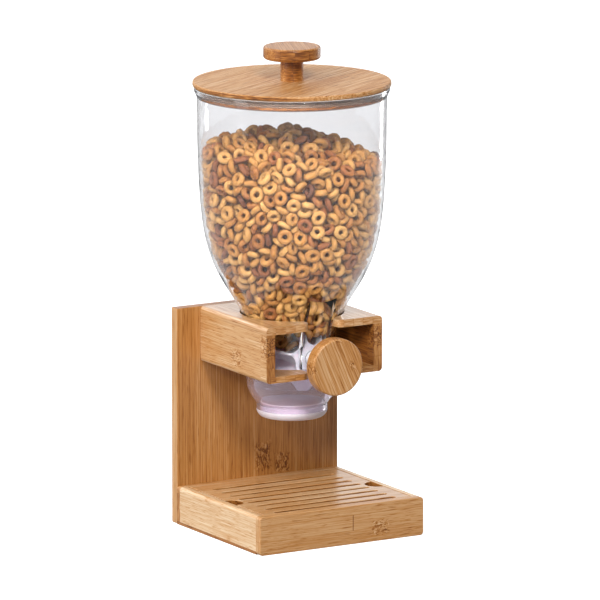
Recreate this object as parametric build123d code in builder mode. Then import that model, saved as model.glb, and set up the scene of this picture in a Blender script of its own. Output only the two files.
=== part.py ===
"""Countertop cereal dispenser: a bamboo stand and tray, a clear lift-out hopper with a turning
rotor and an outlet cup, a bamboo lid and a pull-off outlet cap.

Millimetres. The origin is on the hopper's axis, on the table. +X right, +Y back, +Z up.
"""
from build123d import *
from math import cos, radians, sin, sqrt
import os

os.makedirs("parts", exist_ok=True)

# ---- driving dimensions: stand ----
board_width, board_thickness, board_height = 156.0, 10.0, 184.0
board_front_y = 56.5
board_back_y = board_front_y + board_thickness
board_edge_radius = 1.0
eased_radius = 0.6

# tray under the outlet
tray_width, tray_height, tray_front_y = 157.4, 32.5, -82.5
rail_thickness, back_rail_thickness = 7.0, 5.0
rail_corner_radius = 3.0
tray_floor_thickness = 2.8
tray_inner_half = tray_width / 2 - rail_thickness
rail_front_y = tray_front_y + rail_thickness
rail_back_y = board_front_y - back_rail_thickness

# lift-out grille and the strips that carry it
grille_thickness, grille_gap, grille_side_gap = 6.0, 0.4, 0.9
grille_bottom_z = tray_height - grille_thickness
slot_count, slot_pitch, slot_width, slot_length = 8, 14.3, 5.0, 117.0
first_slot_y = -70.5
notch_radius, notch_y = 10.5, -20.5
ledge_size, ledge_clear_of_notch = 6.0, 2.0

# box shelf that carries the hopper
shelf_width, shelf_depth, shelf_height = 111.2, 110.0, 47.0
shelf_top_z = board_height
shelf_bottom_z = shelf_top_z - shelf_height
shelf_front_y = board_front_y - shelf_depth
shelf_mid_y = board_front_y - shelf_depth / 2
shelf_top_thickness, shelf_floor_thickness = 6.4, 5.2
panel_thickness, panel_rabbet = 8.3, 4.2
shelf_corner_radius = 3.4
top_hole_radius, floor_hole_radius = 43.4, 40.0
front_slot_width, front_slot_corner = 27.0, 6.0

# ---- driving dimensions: hopper and outlet ----
wall, wall_steps = 2.1, 10
hopper_top_z, mouth_start_z, mouth_radius = 374.3, 366.0, 79.0
lip_radius, lip_bottom_z = 81.4, 371.6
neck_radius, neck_bottom_z = 35.5, 124.0
neck_inner_radius = neck_radius - wall
hopper_outline = [  # outer radius and height, from the neck up to the mouth
    (neck_radius, 158.0),
    (38.9, 171.5),
    (42.9, 184.0),
    (51.5, 200.0),
    (61.4, 217.0),
    (71.0, 243.0),
    (76.2, 277.0),
    (78.3, 319.0),
    (mouth_radius, mouth_start_z),
]
pad_half_width, pad_height = 12.7, 3.0
pad_outline = [  # distance in front of the hopper's axis and height, down the middle of the pad
    (51.5, 203.4),
    (51.2, 195.5),
    (46.1, 184.0),
    (42.2, 171.5),
    (neck_radius + pad_height, 158.0),
]
pad_bottom_z = 142.0

cup_rim_z, cup_bottom_z = 141.0, 102.2
cup_rim_radius, cup_inner_radius = 38.5, 35.8
cup_flange_radius, cup_flange_top_z = 29.6, 106.8
cup_opening_radius, cup_opening_top_z = 26.5, 105.8
cup_step_z, cup_step_width = neck_bottom_z - 0.4, 0.7
cup_outline = [  # outer radius and height, from the rim down to the flange
    (cup_rim_radius, cup_rim_z),
    (37.6, 121.7),
    (33.2, 111.5),
    (cup_flange_radius, cup_flange_top_z),
]
cup_inner_outline = [  # inner radius and height, from the opening up to the step under the neck
    (cup_opening_radius, cup_opening_top_z),
    (31.0, 112.1),
    (cup_inner_radius - cup_step_width, cup_step_z),
]

cap_bottom_z, cap_rim_top_z, cap_plug_top_z = 96.0, 101.9, 109.6
cap_plug_clearance, cap_wall = 0.35, 2.4
cap_plug_radius = cup_opening_radius - cap_plug_clearance
cap_rim_radius, cap_rim_height = cup_flange_radius, 1.2
cap_foot_radius, cap_waist_radius, cap_waist_z = 26.3, 28.5, 98.2

# ---- driving dimensions: rotor ----
shaft_z, shaft_radius = 149.4, 4.0
running_clearance, glue_gap = 0.06, 0.05
shaft_rear_y, shaft_front_y = 37.0, -70.0
socket_end_y, socket_boss_end_y, socket_boss_radius = 37.4, 39.6, 7.0
rotor_radius, rotor_half_length = 32.5, 26.5
vane_count, vane_thickness, first_vane_angle = 6, 2.2, 46.0
hub_radius, vane_sleeve_radius = 7.6, 10.0
web_thickness, web_valley_radius = 2.0, 12.2
web_tip_radius = sqrt(rotor_radius**2 - rotor_half_length**2)
bush_radius, bush_flange_radius, bush_flange_thickness = 6.5, 8.6, 1.2
bush_inner_y = -31.2
pad_face_y = -(neck_radius + pad_height)
clip_radius, clip_thickness, clip_y = 6.6, 1.0, -30.6
collar_radius, collar_back_y, collar_boss_radius = 6.4, -41.0, 5.6
knob_radius, knob_back_y, knob_front_y, knob_edge_radius = 24.0, -63.7, -75.7, 1.8
collar_front_thickness = 1.2
collar_front_y = shaft_front_y - collar_front_thickness

# ---- driving dimensions: lid ----
lid_radius, lid_top_z, lid_thickness, lid_edge_radius = 82.5, 379.0, 4.3, 1.4
lid_bottom_z = lid_top_z - lid_thickness
plug_radius, plug_bottom_z = 76.2, 367.0
groove_radius, groove_bottom_z, groove_top_z = 72.0, 369.3, 373.5
seal_body_radius, seal_rib_radius, seal_rib_count = 75.9, 76.55, 3
stem_radius, stem_top_z = 9.5, 397.4
lid_knob_radius, lid_knob_top_z = 23.8, 408.0
lid_knob_top_edge, lid_knob_bottom_edge = 1.8, 2.4

# ---- driving dimensions: screws ----
screw_radius, screw_head_radius = 1.8, 3.6
screw_head_depth = screw_head_radius - screw_radius  # a 90 degree countersink
shelf_screw_length, tray_screw_length, lid_screw_length = 30.0, 14.4, 36.0
shelf_screw_heights = (147.5, 168.0)
shelf_screw_x = shelf_width / 2 - panel_thickness / 2
tray_screw_places = (-52.0, 0.0, 52.0)
tray_screw_z = 17.0
tip_length, tip_radius = 3.0, 0.2
recess_width, recess_span, recess_depth = 0.8, 3.4, 1.1


def countersunk_screws(planes, length):
    """Adds a screw at each plane: its head's face lies on the plane and its tip points away from it."""
    upright = (Align.CENTER, Align.CENTER)
    with Locations(*planes):
        Cone(screw_radius, screw_head_radius, screw_head_depth, align=(*upright, Align.MAX))
        Cylinder(screw_radius, length - tip_length, align=(*upright, Align.MAX))
        with Locations((0, 0, -length)):
            Cone(tip_radius, screw_radius, tip_length, align=(*upright, Align.MIN))
        Box(recess_span, recess_width, 2 * recess_depth, mode=Mode.SUBTRACT)
        Box(recess_width, recess_span, 2 * recess_depth, mode=Mode.SUBTRACT)


def screw_holes(planes, length):
    """Cuts the countersunk hole that each such screw sits in, a hair larger than the screw."""
    with Locations(*planes):
        CounterSinkHole(
            screw_radius + glue_gap,
            screw_head_radius + glue_gap,
            depth=length + glue_gap,
            counter_sink_angle=90,
        )


# Planes that the screw heads lie on, facing out of the wood.
shelf_screw_planes = [
    Plane((x, board_back_y, z), x_dir=(1, 0, 0), z_dir=(0, 1, 0))
    for x in (-shelf_screw_x, shelf_screw_x)
    for z in shelf_screw_heights
]
tray_screw_planes = [
    Plane((x, board_back_y, tray_screw_z), x_dir=(1, 0, 0), z_dir=(0, 1, 0))
    for x in tray_screw_places
]
lid_screw_planes = [Plane((0, 0, plug_bottom_z), x_dir=(1, 0, 0), z_dir=(0, 0, -1))]


# ==== stand ====

# Upright board with eased edges, drilled from behind for the screws.
with BuildPart() as back_board:
    with BuildSketch(Plane.XY):
        with Locations((0, board_front_y + board_thickness / 2)):
            Rectangle(board_width, board_thickness)
    extrude(amount=board_height)
    fillet(back_board.edges(), board_edge_radius)
    screw_holes(shelf_screw_planes, shelf_screw_length)
    screw_holes(tray_screw_planes, tray_screw_length)
back_board.part.label = "back_board"
export_step(back_board.part, "parts/back_board.step")

# Front rail of the tray, full width, with rounded ends.
with BuildPart() as tray_front_rail:
    with BuildSketch(Plane.XZ.offset(-tray_front_y)):
        with Locations((0, tray_height / 2)):
            RectangleRounded(tray_width, tray_height, rail_corner_radius)
    extrude(amount=-rail_thickness)
    fillet(tray_front_rail.faces().sort_by(Axis.Y)[0].edges(), eased_radius)
tray_front_rail.part.label = "tray_front_rail"
export_step(tray_front_rail.part, "parts/tray_front_rail.step")

# Back rail, against the board, as wide as the front rail and on top of the floor.
with BuildPart() as tray_back_rail:
    with BuildSketch(Plane.XZ.offset(-rail_back_y)):
        with Locations((0, (tray_floor_thickness + tray_height) / 2)):
            Rectangle(tray_width, tray_height - tray_floor_thickness)
    extrude(amount=-back_rail_thickness)
    screw_holes(tray_screw_planes, tray_screw_length)
    fillet(tray_back_rail.edges().filter_by(Axis.Y).group_by(Axis.Z)[-1], rail_corner_radius)
tray_back_rail.part.label = "tray_back_rail"
export_step(tray_back_rail.part, "parts/tray_back_rail.step")

# Side rails between the front and back rails, with the outer top edge rounded like the front rail.
for name, side in (("tray_left_rail", -1), ("tray_right_rail", 1)):
    with BuildPart() as tray_side_rail:
        with BuildSketch(Plane.XY.offset(tray_floor_thickness)):
            rail_x = side * (tray_width / 2 - rail_thickness / 2)
            with Locations((rail_x, (rail_front_y + rail_back_y) / 2)):
                Rectangle(rail_thickness, rail_back_y - rail_front_y)
        extrude(amount=tray_height - tray_floor_thickness)
        top_edges = tray_side_rail.edges().filter_by(Axis.Y).group_by(Axis.Z)[-1].sort_by(Axis.X)
        outer, inner = (top_edges[0], top_edges[-1]) if side < 0 else (top_edges[-1], top_edges[0])
        fillet(outer, rail_corner_radius)
        fillet(inner, eased_radius)
    tray_side_rail.part.label = name
    export_step(tray_side_rail.part, f"parts/{name}.step")

# Thin floor under the side and back rails, behind the front rail.
with BuildPart() as tray_floor:
    with BuildSketch(Plane.XY):
        with Locations((0, (rail_front_y + board_front_y) / 2)):
            Rectangle(tray_width, board_front_y - rail_front_y)
    extrude(amount=tray_floor_thickness)
    fillet(tray_floor.edges().filter_by(Axis.Y).group_by(Axis.Z)[0], eased_radius)
tray_floor.part.label = "tray_floor"
export_step(tray_floor.part, "parts/tray_floor.step")

# Strips glued inside the side rails. Each stops short of the finger notch, so it is two pieces.
notch_clear = notch_radius + ledge_clear_of_notch
ledge_stretches = (
    (rail_front_y, notch_y - notch_clear),
    (notch_y + notch_clear, rail_back_y),
)
for name, side in (("grille_left_ledge", -1), ("grille_right_ledge", 1)):
    with BuildPart() as grille_ledge:
        with BuildSketch(Plane.XY.offset(grille_bottom_z - ledge_size)):
            for front, back in ledge_stretches:
                with Locations((side * (tray_inner_half - ledge_size / 2), (front + back) / 2)):
                    Rectangle(ledge_size, back - front)
        extrude(amount=ledge_size)
    grille_ledge.part.label = name
    export_step(grille_ledge.part, f"parts/{name}.step")

# Top board of the shelf: a round hole for the hopper, open to the front by a slot.
with BuildPart() as shelf_top_board:
    with BuildSketch(Plane.XY.offset(shelf_top_z - shelf_top_thickness)) as top_outline:
        with Locations((0, shelf_mid_y)):
            Rectangle(shelf_width, shelf_depth)
        Circle(top_hole_radius, mode=Mode.SUBTRACT)
        with Locations((0, shelf_front_y / 2)):
            Rectangle(front_slot_width, -shelf_front_y, mode=Mode.SUBTRACT)
        mouth = top_outline.vertices().filter_by(lambda v: abs(v.X) < front_slot_width / 2 + 0.1)
        fillet(mouth.group_by(Axis.Y)[0], front_slot_corner)
    extrude(amount=shelf_top_thickness)
    top_face_edges = shelf_top_board.faces().sort_by(Axis.Z)[-1].edges()
    side_edges = top_face_edges.filter_by(Axis.Y).group_by(lambda e: round(abs(e.center().X)))[-1]
    fillet(side_edges, shelf_corner_radius)
    rim = shelf_top_board.faces().sort_by(Axis.Z)[-1].edges().filter_by(GeomType.CIRCLE)
    fillet(rim.sort_by(SortBy.RADIUS)[-1], eased_radius)
shelf_top_board.part.label = "shelf_top_board"
export_step(shelf_top_board.part, "parts/shelf_top_board.step")

# Floor board of the shelf, between the rabbets of the side panels.
floor_board_width = shelf_width - 2 * (panel_thickness - panel_rabbet)
with BuildPart() as shelf_floor_board:
    with BuildSketch(Plane.XY.offset(shelf_bottom_z)) as floor_outline:
        with Locations((0, shelf_mid_y)):
            Rectangle(floor_board_width, shelf_depth)
        Circle(floor_hole_radius, mode=Mode.SUBTRACT)
        with Locations((0, shelf_front_y / 2)):
            Rectangle(front_slot_width, -shelf_front_y, mode=Mode.SUBTRACT)
        mouth = floor_outline.vertices().filter_by(lambda v: abs(v.X) < front_slot_width / 2 + 0.1)
        fillet(mouth.group_by(Axis.Y)[0], front_slot_corner)
    extrude(amount=shelf_floor_thickness)
shelf_floor_board.part.label = "shelf_floor_board"
export_step(shelf_floor_board.part, "parts/shelf_floor_board.step")

# Side panels of the shelf: the lower inner edge is rabbeted for the floor board.
panel_top_z = shelf_top_z - shelf_top_thickness
rabbet_top_z = shelf_bottom_z + shelf_floor_thickness
for name, side in (("shelf_left_panel", -1), ("shelf_right_panel", 1)):
    outer_x, inner_x = side * shelf_width / 2, side * (shelf_width / 2 - panel_thickness)
    rabbet_x = side * floor_board_width / 2
    panel_screws = [p for p in shelf_screw_planes if p.origin.X * side > 0]
    with BuildPart() as shelf_panel:
        with BuildSketch(Plane.XZ.offset(-shelf_front_y)) as panel_outline:
            with BuildLine():
                Polyline(
                    (outer_x, shelf_bottom_z),
                    (outer_x, panel_top_z),
                    (inner_x, panel_top_z),
                    (inner_x, rabbet_top_z),
                    (rabbet_x, rabbet_top_z),
                    (rabbet_x, shelf_bottom_z),
                    close=True,
                )
            make_face()
            lower_outer = panel_outline.vertices().sort_by_distance((outer_x, shelf_bottom_z))[0]
            fillet(lower_outer, shelf_corner_radius)
        extrude(amount=-shelf_depth)
        screw_holes(panel_screws, shelf_screw_length)
    shelf_panel.part.label = name
    export_step(shelf_panel.part, f"parts/{name}.step")

# Countersunk screws that hold the shelf to the board.
with BuildPart() as shelf_screws:
    countersunk_screws(shelf_screw_planes, shelf_screw_length)
shelf_screws.part.label = "shelf_screws"
export_step(shelf_screws.part, "parts/shelf_screws.step")

# Shorter screws that hold the tray to the board.
with BuildPart() as tray_screws:
    countersunk_screws(tray_screw_planes, tray_screw_length)
tray_screws.part.label = "tray_screws"
export_step(tray_screws.part, "parts/tray_screws.step")


# ==== grille ====

# Slotted board that drops in flush with the rails, with a finger notch at each side.
grille_front_y, grille_back_y = rail_front_y + grille_gap, rail_back_y - grille_gap
grille_half_width = tray_inner_half - grille_side_gap
slot_middle_y = first_slot_y + slot_pitch * (slot_count - 1) / 2
with BuildPart() as slotted_grille:
    with BuildSketch(Plane.XY.offset(grille_bottom_z)) as grille_outline:
        with Locations((0, (grille_front_y + grille_back_y) / 2)):
            Rectangle(2 * grille_half_width, grille_back_y - grille_front_y)
        with Locations((0, slot_middle_y)):
            with GridLocations(0, slot_pitch, 1, slot_count):
                SlotOverall(slot_length, slot_width, mode=Mode.SUBTRACT)
        with Locations((-grille_half_width, notch_y), (grille_half_width, notch_y)):
            Circle(notch_radius, mode=Mode.SUBTRACT)
    extrude(amount=grille_thickness)
    chamfer(slotted_grille.faces().sort_by(Axis.Z)[-1].edges(), eased_radius / 2)
slotted_grille.part.label = "slotted_grille"
export_step(slotted_grille.part, "parts/slotted_grille.step")


# ==== hopper ====

# Clear canister, narrowing to the neck. The pad on the front of the neck keys into the shelf's
# slots and carries the shaft's bush. The boss behind the neck is the blind socket of the shaft.
with BuildPart() as hopper:
    with BuildSketch(Plane.XZ):
        with BuildLine():
            outside = Spline(*hopper_outline, tangents=[(0, 1), (0.02, 1)])
            Polyline(
                outside @ 1,
                (lip_radius, lip_bottom_z),
                (lip_radius, hopper_top_z),
                (0, hopper_top_z),
                (0, neck_bottom_z),
                (neck_radius, neck_bottom_z),
                outside @ 0,
            )
        make_face()
    revolve(axis=Axis.Z)
    with BuildSketch(Plane.YZ) as pad_side:
        with BuildLine():
            pad_front = Spline(*[(-distance, height) for distance, height in pad_outline])
            Polyline(
                pad_front @ 1,
                (pad_face_y, pad_bottom_z),
                (-neck_inner_radius / 2, pad_bottom_z),
                (-neck_inner_radius / 2, pad_outline[0][1]),
                pad_front @ 0,
            )
        make_face()
    extrude(amount=pad_half_width, both=True)
    with BuildSketch(Plane.XZ.offset(-socket_boss_end_y)):
        with Locations((0, shaft_z)):
            Circle(socket_boss_radius)
    extrude(amount=socket_boss_end_y)
    with BuildSketch(Plane.XZ):
        with BuildLine():
            inside_points = []
            for i in range(wall_steps + 1):
                point, along = outside @ (i / wall_steps), (outside % (i / wall_steps)).normalized()
                inside_points.append((point.X - wall * along.Y, point.Y + wall * along.X))
            inside = Spline(*inside_points)
            Polyline(
                inside @ 1,
                ((inside @ 1).X, hopper_top_z),
                (0, hopper_top_z),
                (0, neck_bottom_z),
                (neck_inner_radius, neck_bottom_z),
                inside @ 0,
            )
        make_face()
    revolve(axis=Axis.Z, mode=Mode.SUBTRACT)
    with BuildSketch(Plane.XZ):
        with Locations((0, shaft_z)):
            Circle(bush_radius + glue_gap)
    extrude(amount=neck_radius + 2 * pad_height, mode=Mode.SUBTRACT)
    with BuildSketch(Plane.XZ):
        with Locations((0, shaft_z)):
            Circle(shaft_radius + running_clearance)
    extrude(amount=-socket_end_y, mode=Mode.SUBTRACT)
    lip_edges = hopper.edges().filter_by(GeomType.CIRCLE).group_by(Axis.Z)[-1]
    fillet(lip_edges, eased_radius)
hopper.part.label = "hopper"
export_step(hopper.part, "parts/hopper.step")

# Clear cup pushed onto the neck. It narrows to a flanged opening that the cap closes.
with BuildPart() as outlet_cup:
    with BuildSketch(Plane.XZ) as cup_section:
        with BuildLine():
            cup_outside = Spline(*cup_outline, tangents=[(-0.03, -1), (-0.6, -1)])
            Polyline(
                cup_outside @ 1,
                (cup_flange_radius, cup_bottom_z),
                (cup_opening_radius, cup_bottom_z),
                (cup_opening_radius, cup_opening_top_z),
            )
            cup_inside = Spline(*cup_inner_outline, tangents=[(0.6, 1), (0.08, 1)])
            Polyline(
                cup_inside @ 1,
                (cup_inner_radius, cup_step_z),
                (cup_inner_radius, cup_rim_z),
                cup_outside @ 0,
            )
        make_face()
    revolve(axis=Axis.Z)
    fillet(outlet_cup.faces().sort_by(Axis.Z)[-1].edges(), eased_radius)
outlet_cup.part.label = "outlet_cup"
export_step(outlet_cup.part, "parts/outlet_cup.step")

# Flanged sleeve in the pad, which the shaft turns in.
with BuildPart() as front_bush:
    with BuildSketch(Plane.XZ.offset(-bush_inner_y)):
        with Locations((0, shaft_z)):
            Circle(bush_radius)
    extrude(amount=bush_inner_y - pad_face_y)
    with BuildSketch(Plane.XZ.offset(-pad_face_y)):
        with Locations((0, shaft_z)):
            Circle(bush_flange_radius)
    extrude(amount=bush_flange_thickness)
    with BuildSketch(Plane.XZ):
        with Locations((0, shaft_z)):
            Circle(shaft_radius + running_clearance)
    extrude(amount=neck_radius + 2 * pad_height, mode=Mode.SUBTRACT)
front_bush.part.label = "front_bush"
export_step(front_bush.part, "parts/front_bush.step")


# ==== rotor ====

# Rod from the blind socket at the back of the neck to the knob.
with BuildPart() as rotor_shaft:
    with BuildSketch(Plane.XZ.offset(-shaft_rear_y)):
        with Locations((0, shaft_z)):
            Circle(shaft_radius)
    extrude(amount=shaft_rear_y - shaft_front_y)
    chamfer(rotor_shaft.edges().filter_by(GeomType.CIRCLE), eased_radius)
rotor_shaft.part.label = "rotor_shaft"
export_step(rotor_shaft.part, "parts/rotor_shaft.step")

# Rigid core fixed on the shaft.
with BuildPart() as rotor_hub:
    with BuildSketch(Plane.XZ.offset(-rotor_half_length)):
        with Locations((0, shaft_z)):
            Circle(hub_radius)
            Circle(shaft_radius + glue_gap, mode=Mode.SUBTRACT)
    extrude(amount=2 * rotor_half_length)
rotor_hub.part.label = "rotor_hub"
export_step(rotor_hub.part, "parts/rotor_hub.step")

# Flexible wheel: a sleeve on the hub, six vanes trimmed to a ball, and a star-shaped web at each end.
vane_angles = [first_vane_angle + i * 360 / vane_count for i in range(vane_count)]


def around_shaft(radius, angle):
    """A sketch point at this radius and angle round the shaft, on a plane whose axes are X and Z."""
    return (radius * cos(radians(angle)), shaft_z + radius * sin(radians(angle)))


with BuildPart() as rotor_vanes:
    with BuildSketch(Plane.XZ.offset(-rotor_half_length)):
        with Locations((0, shaft_z)):
            Circle(vane_sleeve_radius)
            for angle in vane_angles:
                with Locations(Location((0, 0), angle)):
                    Rectangle(rotor_radius + 1, vane_thickness, align=(Align.MIN, Align.CENTER))
    extrude(amount=2 * rotor_half_length)
    for web_back_y in (rotor_half_length, web_thickness - rotor_half_length):
        with BuildSketch(Plane.XZ.offset(-web_back_y)):
            with BuildLine():
                for angle in vane_angles:
                    ThreePointArc(
                        around_shaft(web_tip_radius, angle),
                        around_shaft(web_valley_radius, angle + 180 / vane_count),
                        around_shaft(web_tip_radius, angle + 360 / vane_count),
                    )
            make_face()
        extrude(amount=web_thickness)
    with Locations((0, 0, shaft_z)):
        Sphere(rotor_radius, mode=Mode.INTERSECT)
    with BuildSketch(Plane.XZ.offset(-rotor_half_length)):
        with Locations((0, shaft_z)):
            Circle(hub_radius + glue_gap)
    extrude(amount=2 * rotor_half_length, mode=Mode.SUBTRACT)
rotor_vanes.part.label = "rotor_vanes"
export_step(rotor_vanes.part, "parts/rotor_vanes.step")

# Open ring snapped on the shaft inside the front wall.
with BuildPart() as shaft_clip:
    with BuildSketch(Plane.XZ.offset(-clip_y)):
        with Locations((0, shaft_z)):
            Circle(clip_radius)
            Circle(shaft_radius + glue_gap, mode=Mode.SUBTRACT)
        with Locations((0, shaft_z - clip_radius)):
            Rectangle(shaft_radius, clip_radius, mode=Mode.SUBTRACT)
    extrude(amount=-clip_thickness)
shaft_clip.part.label = "shaft_clip"
export_step(shaft_clip.part, "parts/shaft_clip.step")

# Boss on the front of the shaft, let into the back of the knob.
with BuildPart() as knob_collar:
    with BuildSketch(Plane.XZ.offset(-collar_back_y)):
        with Locations((0, shaft_z)):
            Circle(collar_radius)
    extrude(amount=collar_back_y - knob_back_y)
    with BuildSketch(Plane.XZ.offset(-knob_back_y)):
        with Locations((0, shaft_z)):
            Circle(collar_boss_radius)
    extrude(amount=knob_back_y - collar_front_y)
    with BuildSketch(Plane.XZ.offset(-collar_back_y)):
        with Locations((0, shaft_z)):
            Circle(shaft_radius + glue_gap)
    extrude(amount=collar_back_y - shaft_front_y + glue_gap, mode=Mode.SUBTRACT)
knob_collar.part.label = "knob_collar"
export_step(knob_collar.part, "parts/knob_collar.step")

# Bamboo disc, with a blind hole behind for the collar's boss.
with BuildPart() as turning_knob:
    with BuildSketch(Plane.XZ.offset(-knob_back_y)):
        with Locations((0, shaft_z)):
            Circle(knob_radius)
    extrude(amount=knob_back_y - knob_front_y)
    fillet(turning_knob.edges().filter_by(GeomType.CIRCLE), knob_edge_radius)
    with BuildSketch(Plane.XZ.offset(-knob_back_y)):
        with Locations((0, shaft_z)):
            Circle(collar_boss_radius + glue_gap)
    extrude(amount=knob_back_y - collar_front_y + glue_gap, mode=Mode.SUBTRACT)
turning_knob.part.label = "turning_knob"
export_step(turning_knob.part, "parts/turning_knob.step")


# ==== lid ====

# Bamboo disc over the mouth, drilled for the screw.
with BuildPart() as lid_disc:
    with BuildSketch(Plane.XY.offset(lid_bottom_z)):
        Circle(lid_radius)
    extrude(amount=lid_thickness)
    fillet(lid_disc.edges().filter_by(GeomType.CIRCLE), lid_edge_radius)
    screw_holes(lid_screw_planes, lid_screw_length)
lid_disc.part.label = "lid_disc"
export_step(lid_disc.part, "parts/lid_disc.step")

# Bamboo plug that enters the mouth, with a groove for the seal.
with BuildPart() as lid_plug:
    with BuildSketch(Plane.XZ):
        with BuildLine():
            Polyline(
                (0, plug_bottom_z),
                (plug_radius, plug_bottom_z),
                (plug_radius, groove_bottom_z),
                (groove_radius, groove_bottom_z),
                (groove_radius, groove_top_z),
                (plug_radius, groove_top_z),
                (plug_radius, lid_bottom_z),
                (0, lid_bottom_z),
                close=True,
            )
        make_face()
    revolve(axis=Axis.Z)
    fillet(lid_plug.edges().filter_by(GeomType.CIRCLE).group_by(Axis.Z)[0], eased_radius)
    screw_holes(lid_screw_planes, lid_screw_length)
lid_plug.part.label = "lid_plug"
export_step(lid_plug.part, "parts/lid_plug.step")

# Ribbed ring in the plug's groove. Its ribs stop just inside the canister's wall.
rib_pitch = (groove_top_z - groove_bottom_z - 2 * glue_gap) / seal_rib_count
with BuildPart() as lid_seal:
    with BuildSketch(Plane.XZ):
        with BuildLine():
            rib_feet = [groove_bottom_z + glue_gap + i * rib_pitch for i in range(seal_rib_count + 1)]
            for low, high in zip(rib_feet, rib_feet[1:]):
                ThreePointArc(
                    (seal_body_radius, low), (seal_rib_radius, (low + high) / 2), (seal_body_radius, high)
                )
            Polyline(
                (seal_body_radius, rib_feet[-1]),
                (groove_radius + glue_gap, rib_feet[-1]),
                (groove_radius + glue_gap, rib_feet[0]),
                (seal_body_radius, rib_feet[0]),
            )
        make_face()
    revolve(axis=Axis.Z)
lid_seal.part.label = "lid_seal"
export_step(lid_seal.part, "parts/lid_seal.step")

# Round post between the lid and its knob.
with BuildPart() as lid_stem:
    with BuildSketch(Plane.XY.offset(lid_top_z)):
        Circle(stem_radius)
    extrude(amount=stem_top_z - lid_top_z)
    screw_holes(lid_screw_planes, lid_screw_length)
lid_stem.part.label = "lid_stem"
export_step(lid_stem.part, "parts/lid_stem.step")

# Thick bamboo disc to lift the lid by.
with BuildPart() as lid_knob:
    with BuildSketch(Plane.XY.offset(stem_top_z)):
        Circle(lid_knob_radius)
    extrude(amount=lid_knob_top_z - stem_top_z)
    rims = lid_knob.edges().filter_by(GeomType.CIRCLE).sort_by(Axis.Z)
    fillet(rims[0], lid_knob_bottom_edge)
    fillet(rims[-1], lid_knob_top_edge)
    screw_holes(lid_screw_planes, lid_screw_length)
lid_knob.part.label = "lid_knob"
export_step(lid_knob.part, "parts/lid_knob.step")

# One screw from below holds the plug, disc, stem and knob together.
with BuildPart() as lid_screw:
    countersunk_screws(lid_screw_planes, lid_screw_length)
lid_screw.part.label = "lid_screw"
export_step(lid_screw.part, "parts/lid_screw.step")


# ==== outlet cap ====

# White cap: a rim that meets the cup's flange, a plug that enters it and a hollow underneath.
with BuildPart() as outlet_cap:
    with BuildSketch(Plane.XZ):
        with BuildLine():
            Polyline(
                (0, cap_plug_top_z),
                (cap_plug_radius, cap_plug_top_z),
                (cap_plug_radius, cap_rim_top_z),
                (cap_rim_radius, cap_rim_top_z),
                (cap_rim_radius, cap_rim_top_z - cap_rim_height),
            )
            ThreePointArc(
                (cap_rim_radius, cap_rim_top_z - cap_rim_height),
                (cap_waist_radius, cap_waist_z),
                (cap_foot_radius, cap_bottom_z),
            )
            Polyline(
                (cap_foot_radius, cap_bottom_z),
                (cap_foot_radius - cap_wall, cap_bottom_z),
                (cap_foot_radius - cap_wall, cap_bottom_z + cap_wall),
                (0, cap_bottom_z + cap_wall),
                (0, cap_plug_top_z),
            )
        make_face()
    revolve(axis=Axis.Z)
    plug_rim = outlet_cap.edges().filter_by(GeomType.CIRCLE).group_by(Axis.Z)[-1]
    fillet(plug_rim, 2 * eased_radius)
outlet_cap.part.label = "outlet_cap"
export_step(outlet_cap.part, "parts/outlet_cap.step")
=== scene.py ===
"""Looks of the bamboo cereal dispenser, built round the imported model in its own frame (metres)."""

import logging
import math
from dataclasses import dataclass, field
from enum import Enum
from functools import partial
from typing import Callable, Iterable, Sequence

import bmesh
import bpy
import numpy as np
from mathutils import Matrix, Vector


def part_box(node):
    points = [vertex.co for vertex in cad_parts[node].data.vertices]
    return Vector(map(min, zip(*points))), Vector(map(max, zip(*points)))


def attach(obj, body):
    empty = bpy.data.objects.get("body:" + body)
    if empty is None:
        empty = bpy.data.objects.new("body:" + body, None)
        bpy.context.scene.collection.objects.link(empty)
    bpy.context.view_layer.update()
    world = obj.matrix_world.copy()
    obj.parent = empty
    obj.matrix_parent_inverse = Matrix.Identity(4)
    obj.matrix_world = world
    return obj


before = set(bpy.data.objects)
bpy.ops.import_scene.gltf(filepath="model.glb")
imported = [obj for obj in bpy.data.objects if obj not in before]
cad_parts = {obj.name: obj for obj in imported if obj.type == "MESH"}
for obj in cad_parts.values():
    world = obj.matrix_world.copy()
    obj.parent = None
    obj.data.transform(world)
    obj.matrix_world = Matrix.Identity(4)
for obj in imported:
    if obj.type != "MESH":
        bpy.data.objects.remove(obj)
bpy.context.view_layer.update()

log = logging.getLogger("cereal_dispenser")

MM = 0.001
X, Y, Z = (1.0, 0.0, 0.0), (0.0, 1.0, 0.0), (0.0, 0.0, 1.0)
TINY = 1e-3  # the shortest length that is divided by, in millimetres

Node = bpy.types.Node
Socket = bpy.types.NodeSocket
Mask = Node | float
Adder = Callable[..., Node]


# ---------------------------------------------------------------- small helpers


def linear(hex_colour: str) -> tuple[float, float, float, float]:
    """Turns an sRGB hex colour into a linear RGBA colour.

    Args:
        hex_colour: Six hex digits with a leading #.

    Returns:
        Linear red, green and blue, and an alpha of 1.
    """
    parts = [int(hex_colour[i : i + 2], 16) / 255 for i in (1, 3, 5)]
    straight = [c / 12.92 if c <= 0.04045 else ((c + 0.055) / 1.055) ** 2.4 for c in parts]
    return (*straight, 1.0)


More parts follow.
